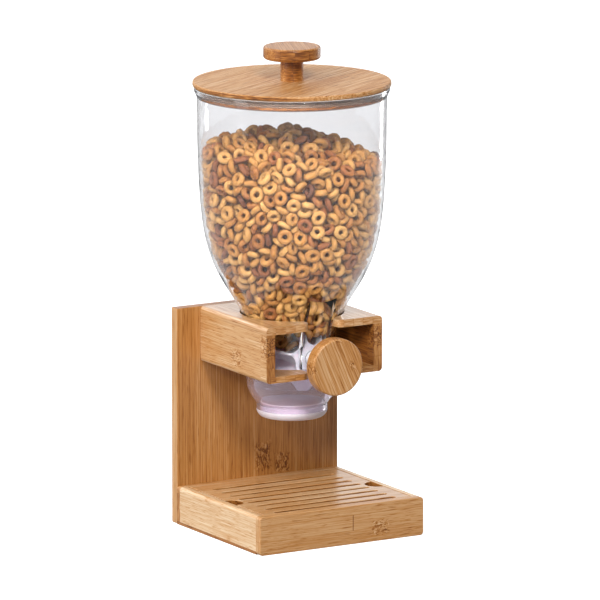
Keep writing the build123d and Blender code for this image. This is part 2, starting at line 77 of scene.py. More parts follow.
def add_node(
    tree: bpy.types.NodeTree,
    kind: str,
    inputs: dict | Iterable = (),
    stops: Sequence[tuple[float, str]] = (),
    **settings: object,
) -> Node:
    """Adds one shader node, sets it up and links it.

    Args:
        tree: The node tree that gets the node.
        kind: The node's type name without its ShaderNode prefix.
        inputs: Values, sockets or nodes for its inputs, in order or by name or number. A node
            stands for its first output.
        stops: A colour ramp's positions and sRGB hex colours, in rising order.
        **settings: Attribute values of the node.

    Returns:
        The new node.
    """
    node = tree.nodes.new("ShaderNode" + kind)
    for name, value in settings.items():
        setattr(node, name, value)
    for name, value in inputs.items() if isinstance(inputs, dict) else enumerate(inputs):
        if isinstance(value, bpy.types.Node):
            value = value.outputs[0]
        if isinstance(value, bpy.types.NodeSocket):
            tree.links.new(value, node.inputs[name])
        else:
            node.inputs[name].default_value = value
    for number, (place, colour) in enumerate(stops):
        elements = node.color_ramp.elements
        element = elements[number] if number < 2 else elements.new(place)
        element.position = place
        element.color = linear(colour)
    return node


def new_material(name: str) -> tuple[bpy.types.Material, Adder]:
    """Makes an empty node material and returns it with add_node for its tree."""
    material = bpy.data.materials.new(name)
    material.use_nodes = True
    material.node_tree.nodes.clear()
    return material, partial(add_node, material.node_tree)


def surface(add: Adder, inputs: dict) -> None:
    """Ends a material in one Principled shader with these inputs."""
    shader = add("BsdfPrincipled", inputs)
    add("OutputMaterial", {"Surface": shader})


def finished_mesh(bm: bmesh.types.BMesh, name: str) -> bpy.types.Mesh:
    """Turns a bmesh into a mesh and frees it."""
    mesh = bpy.data.meshes.new(name)
    bm.to_mesh(mesh)
    bm.free()
    return mesh


def new_object(name: str, data: bpy.types.ID) -> bpy.types.Object:
    """Adds an object that holds this data to the scene."""
    thing = bpy.data.objects.new(name, data)
    bpy.context.scene.collection.objects.link(thing)
    return thing


# ---------------------------------------------------------------- finishes


@dataclass(frozen=True)
class Patch:
    """A patch of the wood's face: its centre and half sizes in millimetres.

    along is measured along the grain and across over the strips.
    """

    along: float
    across: float
    half_length: float
    half_width: float


@dataclass(frozen=True)
class Bamboo:
    """Laminated bamboo, sanded and lacquered: straight fibres in glued strips, with knuckles.

    The eye reads fine parallel streaks and flecks, strips that differ a little in tone, tangled
    darker dashes where a knuckle was, and a soft satin sheen. Tones run from 0, the darkest
    colour, to 1, the palest, and contrasts, lines and darknesses are steps on that scale.
    """

    name: str
    grain: tuple[float, float, float]
    across: tuple[float, float, float]
    strip_mm: float = 6.0
    ply_mm: float = 40.0
    ply_line: float = 0.2
    strip_line: float = 0.22
    glue_mm: float = 0.45
    strip_start_mm: float = 0.0
    ply_start_mm: float = 0.0
    strip_shift_mm: float = 90.0
    tone: float = 0.0
    seed: float = 0.0
    strip_contrast: float = 0.12
    streak_contrast: float = 0.5
    fleck_contrast: float = 0.25
    fibre_mm: float = 0.9
    streak_mm: float = 60.0
    dot_mm: tuple[float, float, float] = (8.0, 9.0, 0.9)
    end_darkness: float = 0.16
    side_tone: float = 0.0
    # The faces that look along this way get painted shade, as the inner faces of the frame and the
    # shelf do.
    shaded_side: tuple[float, float, float] | None = None
    side_shade: float = 0.5
    # The next three paint shade below a height, fading in just under it, as in the grille's slots.
    shade_below_mm: float | None = None
    shade_darkness: float = 0.45
    shade_fade_mm: float = 0.2
    knuckles: tuple[Patch, ...] = ()
    dash_mm: tuple[float, float, float] = (4.2, 1.6, 1.6)
    dash_depth: float = 1.5
    swirl_mm: float = 6.25
    swirl_push_mm: float = 6.0
    butt_joints: tuple[Patch, ...] = ()
    joint_darkness: float = 0.55
    relief: float = 0.22
    relief_mm: float = 0.2
    roughness: float = 0.36
    coat: float = 0.18
    coat_roughness: float = 0.22
    colours: tuple[tuple[float, str], ...] = (
        (0.0, "#5E3210"),
        (0.25, "#915822"),
        (0.5, "#B57C40"),
        (0.75, "#CDA273"),
        (1.0, "#E9D2B0"),
    )

    def build(self) -> bpy.types.Material:
        """Makes the material.

        Returns:
            A material whose pattern lies in Object coordinates, turned to the grain.
        """
        material, add = new_material(self.name)
        grain, across = Vector(self.grain).normalized(), Vector(self.across).normalized()
        turned = Matrix((grain, across, grain.cross(across))).to_euler()
        coordinates = add("TexCoord").outputs
        place, normal = coordinates["Object"], coordinates["Normal"]
        wood = add("Mapping", {"Vector": place, "Rotation": turned, "Scale": (1 / MM,) * 3})
        along, over, depth = add("SeparateXYZ", [wood]).outputs
        strip = self._layers(add, over, self.strip_start_mm, self.strip_mm)
        ply = self._layers(add, depth, self.ply_start_mm, self.ply_mm)
        chance = self._chance(add, strip, ply)

        # Each strip is cut from another cane, so its fibres start somewhere else.
        elsewhere = {0: chance.outputs["Color"], "Scale": self.strip_shift_mm}
        shift = add("VectorMath", elsewhere, operation="SCALE")
        shifted = add("VectorMath", [wood, shift], operation="ADD")
        knuckle = self._patches(add, along, over, self.knuckles, wood)
        bent = self._bent(add, shifted, knuckle)
        fine = self._streaks(add, bent, (self.streak_mm, self.fibre_mm, self.fibre_mm))
        tone = self._fibres(add, bent, fine, shifted, self._faces(add, normal, grain, True))
        spread = [chance, self.strip_contrast, self.tone - self.strip_contrast / 2]
        own = add("Math", spread, operation="MULTIPLY_ADD")
        tone = add("Math", [tone, own], operation="ADD")
        if self.side_tone:
            sides = self._faces(add, normal, across, True)
            tone = add("Math", [sides, self.side_tone, tone], operation="MULTIPLY_ADD")
        # Painted shade on the faces that look one way, for the shade inside the frame and the shelf.
        if self.shaded_side:
            inner_shade = self._faces(add, normal, Vector(self.shaded_side), False)
            tone = add("Math", [inner_shade, -self.side_shade, tone], operation="MULTIPLY_ADD")
        tone = self._glue_line(add, tone, strip, self.strip_mm, self.strip_line, chance)
        tone = self._glue_line(add, tone, ply, self.ply_mm, self.ply_line, chance)
        tone, dashes = self._tangle(add, tone, bent, knuckle)
        joint = self._patches(add, along, over, self.butt_joints, wood, sharp=True)
        tone = add("Math", [joint, -self.joint_darkness, tone], operation="MULTIPLY_ADD")
        # Painted shade: the tone is darkened below a height, for the dark walls of the grille's
        # slots.
        if self.shade_below_mm is not None:
            edge = self.shade_below_mm * MM
            level = add("SeparateXYZ", [place]).outputs["Z"]
            fade = [level, edge - self.shade_fade_mm * MM, edge, -self.shade_darkness, 0.0]
            slot_shade = add("MapRange", fade, interpolation_type="SMOOTHSTEP")
            tone = add("Math", [tone, slot_shade], operation="ADD")

        rough = [fine, 0.0, 1.0, self.roughness + 0.08, self.roughness - 0.04]
        height = add("Math", [dashes, -self.dash_depth, fine], operation="MULTIPLY_ADD")
        bump = {"Strength": self.relief, "Distance": self.relief_mm * MM, "Height": height}
        surface(
            add,
            {
                "Base Color": add("ValToRGB", [tone], self.colours),
                "Roughness": add("MapRange", rough),
                "Normal": add("Bump", bump),
                "Coat Weight": self.coat,
                "Coat Roughness": self.coat_roughness,
            },
        )
        return material

    def _layers(self, add: Adder, across: Socket, start_mm: float, layer_mm: float) -> Node:
        """Counts the glued layers from a starting line, in layers."""
        offset = add("Math", [across, start_mm], operation="SUBTRACT")
        return add("Math", [offset, layer_mm], operation="DIVIDE")

    def _chance(self, add: Adder, strip: Node, ply: Node) -> Node:
        """Draws one random value and colour for each strip of each ply."""
        numbers = [add("Math", [layer], operation="FLOOR") for layer in (strip, ply)]
        cell = add("CombineXYZ", [*numbers, self.seed])
        return add("TexWhiteNoise", {"Vector": cell}, noise_dimensions="3D")

    def _faces(self, add: Adder, normal: Socket, way: Vector, both: bool) -> Node:
        """Adds a mask of the faces that look along a direction, and against it if both is set."""
        facing = add("VectorMath", [normal, tuple(way)], operation="DOT_PRODUCT").outputs["Value"]
        if both:
            facing = add("Math", [facing], operation="ABSOLUTE")
        return add("MapRange", [facing, 0.6, 0.95, 0.0, 1.0], interpolation_type="SMOOTHSTEP")

    def _streaks(self, add: Adder, vector: Node, size_mm: tuple[float, float, float]) -> Node:
        """Adds noise drawn out to this size along, across and through the wood."""
        by = tuple(1 / length for length in size_mm)
        drawn = add("VectorMath", [vector, by], operation="MULTIPLY")
        return add("TexNoise", {"Vector": drawn, "Scale": 1.0, "Detail": 2.0, "Roughness": 0.5})

    def _fibres(self, add: Adder, bent: Node, fine: Node, shifted: Node, cut_across: Node) -> Node:
        """Adds the tone of the fibres.

        Args:
            add: Adds a node to the material.
            bent: The wood's coordinates, swirled in the knuckles.
            fine: The fine streaks.
            shifted: The wood's coordinates.
            cut_across: The mask of the faces that cut the fibres.

        Returns:
            The tone, 0.5 on average.
        """
        bundle_mm = 2.2 * self.fibre_mm
        broad = self._streaks(add, bent, (3 * self.streak_mm, bundle_mm, bundle_mm))
        flecks = self._streaks(add, bent, (0.3 * self.streak_mm, self.fibre_mm, self.fibre_mm))
        # Cut across, the fibres are dots, closer together towards one face of each strip.
        dots = self._streaks(add, shifted, self.dot_mm)
        broad_share = add("Math", [broad, 0.25], operation="MULTIPLY")
        streak = add("Math", [fine, 0.75, broad_share], operation="MULTIPLY_ADD")
        sparse = [flecks, 0.55, 0.72, 0.0, self.fleck_contrast]
        dark = add("MapRange", sparse, interpolation_type="SMOOTHSTEP")
        streak = add("Math", [streak, dark], operation="SUBTRACT")
        mixed = add("Mix", {0: cut_across, 2: streak, 3: dots}, data_type="FLOAT")
        # Noise stays near 0.5, so it is spread about 0.5, and what the flecks take is given back.
        gain = 2.4 * self.streak_contrast
        offset = 0.5 - gain / 2 + 0.3 * gain * self.fleck_contrast
        tone = add("Math", [mixed, gain, offset], operation="MULTIPLY_ADD")
        return add("Math", [cut_across, -self.end_darkness, tone], operation="MULTIPLY_ADD")

    def _glue_line(
        self, add: Adder, tone: Node, layer: Node, layer_mm: float, darkness: float, chance: Node
    ) -> Node:
        """Darkens a hair of glue between two layers, more where they don't match."""
        edge = add("Math", [layer, 0.5], operation="PINGPONG")
        fade = [edge, 0.0, self.glue_mm / layer_mm, -darkness, 0.0]
        glue = add("MapRange", fade, interpolation_type="SMOOTHSTEP")
        return add("Math", [glue, chance, tone], operation="MULTIPLY_ADD")

    def _tangle(self, add: Adder, tone: Node, bent: Node, knuckle: Mask) -> tuple[Node, Node]:
        """Draws the short tangled dashes of the knuckles, and returns the tone and the dashes."""
        squiggle = self._streaks(add, bent, self.dash_mm)
        steep = [squiggle, 0.42, 0.6, -0.1, 0.36]
        dashes = add("MapRange", steep, interpolation_type="SMOOTHSTEP")
        dashes = add("Math", [dashes, knuckle], operation="MULTIPLY")
        return add("Math", [tone, dashes], operation="SUBTRACT"), dashes

    def _bent(self, add: Adder, vector: Node, knuckle: Mask) -> Node:
        """Swirls the fibres inside the knuckles and leaves them straight elsewhere."""
        swirl = add("TexNoise", {"Vector": vector, "Scale": 1 / self.swirl_mm, "Detail": 1.0})
        centred = add("VectorMath", [swirl.outputs["Color"], (0.5,) * 3], operation="SUBTRACT")
        push = add("Math", [knuckle, self.swirl_push_mm], operation="MULTIPLY")
        pushed = add("VectorMath", {0: centred, "Scale": push}, operation="SCALE")
        return add("VectorMath", [vector, pushed], operation="ADD")

    def _patches(
        self,
        add: Adder,
        along: Socket,
        over: Socket,
        patches: tuple[Patch, ...],
        wood: Node,
        sharp: bool = False,
    ) -> Mask:
        """Adds a mask that is 1 inside the given patches.

        Args:
            add: Adds a node to the material.
            along: Millimetres along the grain.
            over: Millimetres across the strips.
            patches: The patches.
            wood: The wood's own coordinates, which fray the patches' edges.
            sharp: Square patches with hard edges, instead of frayed round ones.

        Returns:
            The mask, or 0 if there are no patches.
        """
        mask: Mask = 0.0
        if patches and not sharp:
            fray = add("TexNoise", {"Vector": wood, "Scale": 0.35, "Detail": 2.0})
            noise = add("Math", [fray, 1.1, -0.55], operation="MULTIPLY_ADD")
        for patch in patches:
            sides = (
                (along, patch.along, patch.half_length),
                (over, patch.across, patch.half_width),
            )
            far = []
            for socket, centre, half in sides:
                offset = add("Math", [socket, centre], operation="SUBTRACT")
                share = add("Math", [offset, half], operation="DIVIDE")
                far.append(add("Math", [share], operation="ABSOLUTE"))
            edge = add("Math", far, operation="MAXIMUM")
            if not sharp:
                edge = add("Math", [edge, noise], operation="ADD")
            fade = [edge, 1.0, 0.95 if sharp else 0.55, 0.0, 1.0]
            inside = add("MapRange", fade, interpolation_type="SMOOTHSTEP")
            mask = add("Math", [mask, inside], operation="MAXIMUM")
        return mask


@dataclass(frozen=True)
class ClearPlastic:
    """Injection-moulded clear plastic, polished: almost invisible, with thin reflections.

    Where a thick rib is seen on edge its sideways faces get painted shade for their dark look, and a
    piece can be made a little milky.
    """

    name: str
    tint: str = "#FBFBFD"
    milk: float = 0.0
    rib_shade: str | None = None
    rib_front_mm: float = -40.0
    rib_half_width_mm: float = 14.0
    roughness: float = 0.015
    ior: float = 1.49
    ripple_mm: float = 22.0
    ripple: float = 0.08
    ripple_depth_mm: float = 0.6

    def build(self) -> bpy.types.Material:
        """Makes the material, with the slow ripple that a moulded wall has."""
        material, add = new_material(self.name)
        coordinates = add("TexCoord").outputs
        place = coordinates["Object"]
        slow = {"Vector": place, "Scale": 1 / (self.ripple_mm * MM), "Detail": 1.0}
        bump = {
            "Strength": self.ripple,
            "Distance": self.ripple_depth_mm * MM,
            "Height": add("TexNoise", slow),
        }
        inputs = {
            "Base Color": linear(self.tint),
            "Roughness": self.roughness,
            "IOR": self.ior,
            "Transmission Weight": 1.0 - self.milk,
            "Normal": add("Bump", bump),
        }
        # Painted shade: the ribs' sideways faces are tinted dark.
        if self.rib_shade:
            inputs["Base Color"] = self._ribs(add, place, coordinates["Normal"])
        surface(add, inputs)
        return material

    def _ribs(self, add: Adder, place: Socket, normal: Socket) -> Socket:
        """Paints shade onto the sideways faces of the ribs that stand in front of the round wall,
        for their dark look on edge.
        """
        facing = add("VectorMath", [normal, X], operation="DOT_PRODUCT")
        sideways = add("Math", [facing.outputs["Value"]], operation="ABSOLUTE")
        on_side = add("Math", [sideways, 0.8], operation="GREATER_THAN")
        x, y, _ = add("SeparateXYZ", [place]).outputs
        front = add("Math", [y, self.rib_front_mm * MM], operation="LESS_THAN")
        off_middle = add("Math", [x], operation="ABSOLUTE")
        narrow = add("Math", [off_middle, self.rib_half_width_mm * MM], operation="LESS_THAN")
        rib = add("Math", [on_side, front], operation="MULTIPLY")
        rib = add("Math", [rib, narrow], operation="MULTIPLY")
        tints = {0: rib, 6: linear(self.tint), 7: linear(self.rib_shade)}
        return add("Mix", tints, data_type="RGBA").outputs[2]


@dataclass(frozen=True)
class SoftPlastic:
    """Moulded opaque or milky plastic and silicone: an even colour, a fine satin grain, soft light.

    bands are a ramp of tints over the height of the piece, from its bottom to its top.
    """

    name: str
    colour: str
    shade: str
    roughness: float = 0.4
    glow: float = 0.2
    see_through: float = 0.0
    glow_mm: tuple[float, float, float] = (4.0, 3.0, 3.0)
    grain_mm: float = 0.9
    grain_depth_mm: float = 0.1
    grain_strength: float = 0.1
    cloud_mm: float = 14.0
    band_from_mm: float = 0.0
    band_to_mm: float = 1.0
    bands: tuple[tuple[float, str], ...] = ()

    def build(self) -> bpy.types.Material:
        """Makes the material, mottled very slightly between its two colours, and banded."""
        material, add = new_material(self.name)
        place = add("TexCoord").outputs["Object"]
        cloud, grit = (
            add("TexNoise", {"Vector": place, "Scale": 1 / (size_mm * MM), "Detail": 2.0})
            for size_mm in (self.cloud_mm, self.grain_mm)
        )
        colour = add("ValToRGB", [cloud], ((0.35, self.shade), (0.65, self.colour))).outputs[0]
        if self.bands:
            level = add("SeparateXYZ", [place]).outputs["Z"]
            height = [level, self.band_from_mm * MM, self.band_to_mm * MM, 0.0, 1.0]
            band = add("ValToRGB", [add("MapRange", height)], self.bands)
            tints = {0: 1.0, 6: colour, 7: band}
            colour = add("Mix", tints, data_type="RGBA", blend_type="MULTIPLY").outputs[2]
        rough = [grit, 0.0, 1.0, self.roughness - 0.06, self.roughness + 0.06]
        depth = self.grain_depth_mm * MM
        bump = {"Strength": self.grain_strength, "Distance": depth, "Height": grit}
        surface(
            add,
            {
                "Base Color": colour,
                "Roughness": add("MapRange", rough),
                "Subsurface Weight": self.glow,
                "Subsurface Radius": tuple(reach * MM for reach in self.glow_mm),
                "Subsurface Scale": 1.0,
                "Transmission Weight": self.see_through,
                "Normal": add("Bump", bump),
            },
        )
        return material


@dataclass(frozen=True)
class DrawnSteel:
    """Bright drawn steel of a rod or a screw: fine lines along it, and a metal's reflection."""

    name: str
    colour: str = "#B9BABD"
    shade: str = "#8D8E92"
    roughness: float = 0.3
    line_mm: float = 0.4
    line_length_mm: float = 12.0

    def build(self) -> bpy.types.Material:
        """Makes the material, with draw lines that run along Y, as the shaft and the screws do."""
        material, add = new_material(self.name)
        place = add("TexCoord").outputs["Object"]
        across, along = 1 / (self.line_mm * MM), 1 / (self.line_length_mm * MM)
        drawn = add("VectorMath", [place, (across, along, across)], operation="MULTIPLY")
        lines = add("TexNoise", {"Vector": drawn, "Scale": 1.0, "Detail": 2.0})
        rough = [lines, 0.0, 1.0, self.roughness - 0.08, self.roughness + 0.1]
        surface(
            add,
            {
                "Base Color": add("ValToRGB", [lines], ((0.3, self.shade), (0.7, self.colour))),
                "Metallic": 1.0,
                "Roughness": add("MapRange", rough),
            },
        )
        return material


@dataclass(frozen=True)
class ToastedOat:
    """Baked ring cereal: matt, pitted, from pale straw to toasted brown, one shade to a ring."""

    name: str
    toast_layer: str
    pit_mm: float = 1.3
    pit_contrast: float = 0.34
    pit_depth_mm: float = 0.4
    blush_mm: float = 5.2
    blush_contrast: float = 0.36
    colours: tuple[tuple[float, str], ...] = (
        (0.0, "#B28649"),
        (0.3, "#9A6728"),
        (0.55, "#7C4413"),
        (0.8, "#5D2F10"),
        (1.0, "#391A09"),
    )

    def build(self) -> bpy.types.Material:
        """Makes the material. It reads each ring's own shade from an attribute of the mesh."""
        material, add = new_material(self.name)
        toast = add("Attribute", attribute_name=self.toast_layer).outputs["Fac"]
        place = add("TexCoord").outputs["Object"]
        pits = add("TexNoise", {"Vector": place, "Scale": 1 / (self.pit_mm * MM), "Detail": 3.0})
        soft = {"Vector": place, "Scale": 1 / (self.blush_mm * MM), "Detail": 1.0}
        blush = add("TexNoise", soft)
        average = (self.pit_contrast + self.blush_contrast) / 2
        shade = add("Math", [toast, average], operation="SUBTRACT")
        shade = add("Math", [pits, self.pit_contrast, shade], operation="MULTIPLY_ADD")
        shade = add("Math", [blush, self.blush_contrast, shade], operation="MULTIPLY_ADD")
        bump = {"Strength": 0.5, "Distance": self.pit_depth_mm * MM, "Height": pits}
        surface(
            add,
            {
                "Base Color": add("ValToRGB", [shade], self.colours),
                "Roughness": 0.72,
                "Normal": add("Bump", bump),
            },
        )
        return material


Finish = Bamboo | ClearPlastic | SoftPlastic | DrawnSteel


# ---------------------------------------------------------------- assemblies


def dress(node: str, finish: Finish) -> None:
    """Gives a CAD node one finish."""
    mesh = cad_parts[node].data
    mesh.materials.clear()
    mesh.materials.append(finish.build())
    log.info("%s wears %s", node, finish.name)


class Side(Enum):
    """The left and right of the object, seen from the knob."""

    LEFT = -1
    RIGHT = 1


@dataclass
class Stand:
    """The board, the tray's frame and the box shelf, all bamboo, and the screws that hold them."""

    board_strip_mm: float = 5.6
    board_knuckles: tuple[Patch, ...] = (
        Patch(49, 5, 14, 8.5),
        Patch(41, 23.5, 10, 8.5),
        Patch(148, -40, 8, 5),
    )
    rail_strip_mm: float = 13.4
    rail_strip_start_mm: float = 11.3
    rail_knuckles: tuple[Patch, ...] = (Patch(36.6, 11.6, 9, 7),)
    rail_joints: tuple[Patch, ...] = (Patch(10.5, 18.0, 0.35, 6.7),)
    side_rail_strip_mm: float = 11.0
    ledge_strip_mm: float = 6.0
    floor_strip_mm: float = 18.0
    shelf_strip_mm: float = 9.3
    panel_strip_mm: float = 12.5
    panel_ply_mm: float = 4.15
    panel_ply_start_mm: float = 55.6
    panel_knuckles: tuple[Patch, ...] = (Patch(-3.4, 151, 10, 8), Patch(-50, 167, 6, 11))

    def dress_all(self) -> None:
        """Gives each part of the stand its own cut of bamboo."""
        steel = DrawnSteel("zinc_plated_screw_steel")
        dress("back_board", self.board_finish())
        dress("tray_front_rail", self.front_rail_finish())
        dress("tray_back_rail", Bamboo("bamboo_back_rail", X, Z, self.rail_strip_mm, seed=4.0))
        for side in Side:
            name = side.name.lower()
            dress(f"tray_{name}_rail", self.side_rail_finish(side))
            ledge = Bamboo(f"bamboo_{name}_ledge", Y, Z, self.ledge_strip_mm, tone=-0.1, seed=6.0)
            dress(f"grille_{name}_ledge", ledge)
            dress(f"shelf_{name}_panel", self.panel_finish(side))
        # The tray floor is darkened with painted shade, for the shade under the grille.
        floor = Bamboo("bamboo_tray_floor", Y, X, self.floor_strip_mm, tone=-0.35, seed=7.0)
        dress("tray_floor", floor)
        dress("shelf_top_board", self.shelf_top_finish())
        shelf_floor = Bamboo("bamboo_shelf_floor", Y, X, self.shelf_strip_mm, seed=9.0)
        dress("shelf_floor_board", shelf_floor)
        dress("shelf_screws", steel)
        dress("tray_screws", steel)

    def board_finish(self) -> Bamboo:
        """The upright grain of the board, with two knuckles low in its middle."""
        return Bamboo(
            "bamboo_board",
            Z,
            X,
            self.board_strip_mm,
            seed=1.0,
            tone=-0.1,
            strip_contrast=0.1,
            streak_contrast=0.38,
            side_tone=0.18,
            knuckles=self.board_knuckles,
        )

    def front_rail_finish(self) -> Bamboo:
        """The level grain of the front rail, with a knuckle and the short line of a butt joint."""
        return Bamboo(
            "bamboo_front_rail",
            X,
            Z,
            self.rail_strip_mm,
            strip_start_mm=self.rail_strip_start_mm,
            seed=2.0,
            tone=0.02,
            strip_contrast=0.1,
            streak_contrast=0.32,
            fleck_contrast=0.4,
            streak_mm=40.0,
            fibre_mm=0.75,
            end_darkness=0.0,
            knuckles=self.rail_knuckles,
            butt_joints=self.rail_joints,
        )

    def side_rail_finish(self, side: Side) -> Bamboo:
        """The paler side rails, with painted shade on their inner faces for the dark gap along the
        grille.
        """
        return Bamboo(
            f"bamboo_{side.name.lower()}_rail",
            Y,
            Z,
            self.side_rail_strip_mm,
            seed=3.0 + side.value,
            tone=0.28,
            strip_contrast=0.08,
            streak_contrast=0.3,
            fleck_contrast=0.4,
            streak_mm=40.0,
            # Painted shade on the inner face.
            shaded_side=(-side.value, 0.0, 0.0),
        )

    def shelf_top_finish(self) -> Bamboo:
        """The shelf's top board, paler and with more lacquer than the rest."""
        return Bamboo(
            "bamboo_shelf_top",
            Y,
            X,
            self.shelf_strip_mm,
            seed=8.0,
            tone=0.12,
            roughness=0.28,
            coat=0.8,
            coat_roughness=0.12,
        )

    def panel_finish(self, side: Side) -> Bamboo:
        """The shelf's side panels: two plies, a knuckle in the middle and one at the front edge. The
        left panel is painted paler as painted light, the right one darker as painted shade, and
        their inner faces get painted shade.
        """
        return Bamboo(
            f"bamboo_{side.name.lower()}_panel",
            Y,
            Z,
            self.panel_strip_mm,
            ply_mm=self.panel_ply_mm,
            ply_start_mm=side.value * self.panel_ply_start_mm,
            seed=10.0 + side.value,
            # Painted light on the left panel, painted shade on the right one and on both inner
            # faces.
            tone=0.2 if side is Side.LEFT else -0.06,
            end_darkness=0.47 if side is Side.LEFT else 0.12,
            shaded_side=(-side.value, 0.0, 0.0),
            side_shade=0.22,
            strip_contrast=0.1,
            streak_contrast=0.42,
            fleck_contrast=0.35,
            streak_mm=45.0,
            knuckles=self.panel_knuckles,
        )


@dataclass
class Grille:
    """The lift-out slotted board. The walls of its slots are darkened with painted shade."""

    strip_mm: float = 15.0
    # Below this height the walls of the slots get painted shade.
    shade_below_mm: float = 32.0

    def dress_all(self) -> None:
        """Gives the grille bamboo whose grain runs along its slots."""
        finish = Bamboo(
            "bamboo_grille",
            X,
            Y,
            self.strip_mm,
            seed=12.0,
            tone=0.13,
            shade_below_mm=self.shade_below_mm,
            roughness=0.3,
            coat=0.5,
        )
        dress("slotted_grille", finish)


@dataclass
class Container:
    """The clear hopper and cup, with the sleeve of the shaft."""

    # Painted shade for the hopper's ribs seen on edge.
    rib_shade: str = "#4A3D52"
    # The cup's lilac tint and milk stand in for the reflections and shade seen in it, as painted
    # reflection and shade.
    cup_tint: str = "#EFE6F0"
    cup_milk: float = 0.09

    def dress_all(self) -> None:
        """Makes the clear pieces clear, and lets the lamps shine through them."""
        dress("hopper", ClearPlastic("clear_moulded_hopper", rib_shade=self.rib_shade))
        dress("outlet_cup", ClearPlastic("clear_moulded_cup", self.cup_tint, self.cup_milk))
        for node in ("hopper", "outlet_cup"):
            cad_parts[node].visible_shadow = False
        dress("front_bush", SoftPlastic("white_acetal_bush", "#EFEDF1", "#E2DEE6"))


@dataclass
class Rotor:
    """The shaft with its vanes, collar and wooden knob."""

    grain_lean_deg: float = 24.0
    knob_strip_mm: float = 5.2
    knob_knuckles: tuple[Patch, ...] = (
        Patch(-131, 73.6, 5, 3),
        Patch(-146, 39.3, 5, 3.4),
        Patch(-158, 70.3, 4, 3.4),
    )

    def dress_all(self) -> None:
        """Gives the turning parts their finishes."""
        steel = DrawnSteel("stainless_shaft_steel")
        white = SoftPlastic("white_hub_plastic", "#F1EFF3", "#E4E0E8")
        dress("rotor_shaft", steel)
        dress("shaft_clip", steel)
        dress("rotor_hub", white)
        dress("knob_collar", white)
        silicone = SoftPlastic(
            "frosted_vane_silicone", "#F4EDF7", "#E9DFEE", glow=0.5, see_through=0.12
        )
        dress("rotor_vanes", silicone)
        dress("turning_knob", self.knob_finish())

    def knob_finish(self) -> Bamboo:
        """The knob's grain, which leans from upright when the object is at rest."""
        lean = math.radians(self.grain_lean_deg)
        return Bamboo(
            "bamboo_turning_knob",
            (math.sin(lean), 0.0, -math.cos(lean)),
            (math.cos(lean), 0.0, math.sin(lean)),
            self.knob_strip_mm,
            seed=14.0,
            tone=-0.02,
            knuckles=self.knob_knuckles,
            roughness=0.4,
        )


@dataclass
class Lid:
    """The lid's disc, plug, seal, post, knob and screw."""

    disc_grain_deg: float = 29.0
    disc_strip_mm: float = 19.0
    knob_grain_deg: float = 66.0
    knob_strip_mm: float = 12.0
    stem_ply_mm: float = 6.3
    knob_ply_mm: float = 3.3

    def dress_all(self) -> None:
        """Gives the lid's parts their finishes."""
        along, over = self._level_grain(self.disc_grain_deg)
        disc = Bamboo(
            "bamboo_lid_disc",
            along,
            over,
            self.disc_strip_mm,
            seed=15.0,
            tone=-0.02,
            streak_contrast=0.7,
            end_darkness=0.34,
            roughness=0.5,
            coat=0.04,
        )
        plug = Bamboo("bamboo_lid_plug", over, along, self.disc_strip_mm, seed=16.0, tone=-0.4)
        seal = SoftPlastic(
            "clear_grey_seal_silicone",
            "#A0846F",
            "#8A6E5B",
            roughness=0.25,
            glow=0.1,
            see_through=0.4,
        )
        dress("lid_disc", disc)
        dress("lid_plug", plug)
        dress("lid_stem", self.turned_finish("bamboo_lid_stem", self.stem_ply_mm, 17.0))
        dress("lid_knob", self.turned_finish("bamboo_lid_knob", self.knob_ply_mm, 18.0))
        dress("lid_seal", seal)
        dress("lid_screw", DrawnSteel("lid_screw_steel"))

    def turned_finish(self, name: str, ply_mm: float, seed: float) -> Bamboo:
        """The stem and the knob are turned from a block of level plies, whose glue lines show."""
        along, over = self._level_grain(self.knob_grain_deg)
        return Bamboo(
            name,
            along,
            over,
            self.knob_strip_mm,
            ply_mm=ply_mm,
            ply_line=0.3,
            seed=seed,
            tone=-0.15,
            end_darkness=0.26,
        )

    def _level_grain(self, degrees: float) -> tuple[tuple, tuple]:
        """Returns the level directions along and across a grain that is turned so far from +X."""
        a = math.radians(degrees)
        return (math.cos(a), math.sin(a), 0.0), (-math.sin(a), math.cos(a), 0.0)


@dataclass
class OutletCap:
    """The white cap under the cup: a bright rim, and a plug painted lilac-grey with painted shade on
    its sides and top, with a painted highlight round the edge of its top.
    """

    rim_top_mm: float = 101.9
    edge_mm: float = 0.9
    blend: float = 0.005
    face_from: float = 0.985
    rim_colour: str = "#E2DADF"
    plug_shade: str = "#A698A3"
    edge_highlight: str = "#E2DBE0"
    face_shade: str = "#B3A5B0"

    def dress_all(self) -> None:
        """Gives the cap its white plastic, with painted shade and a painted highlight in bands over
        its height.
        """
        low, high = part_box("outlet_cap")
        bottom, top = low.z / MM, high.z / MM
        rim = (self.rim_top_mm - bottom) / (top - bottom)
        edge = 1.0 - self.edge_mm / (top - bottom)
        # Painted shade on the plug's sides and top face, and a painted highlight on its rounded top
        # edge.
        bands = (
            (rim + self.blend, self.rim_colour),
            (rim + 2 * self.blend, self.plug_shade),
            (edge - self.blend, self.plug_shade),
            (edge, self.edge_highlight),
            (self.face_from, self.edge_highlight),
            (self.face_from + self.blend, self.face_shade),
        )
        finish = SoftPlastic(
            "white_cap_plastic",
            "#FFFFFF",
            "#F4F1F3",
            roughness=0.36,
            glow=0.3,
            band_from_mm=bottom,
            band_to_mm=top,
            bands=bands,
        )
        dress("outlet_cap", finish)


# ---------------------------------------------------------------- cereal


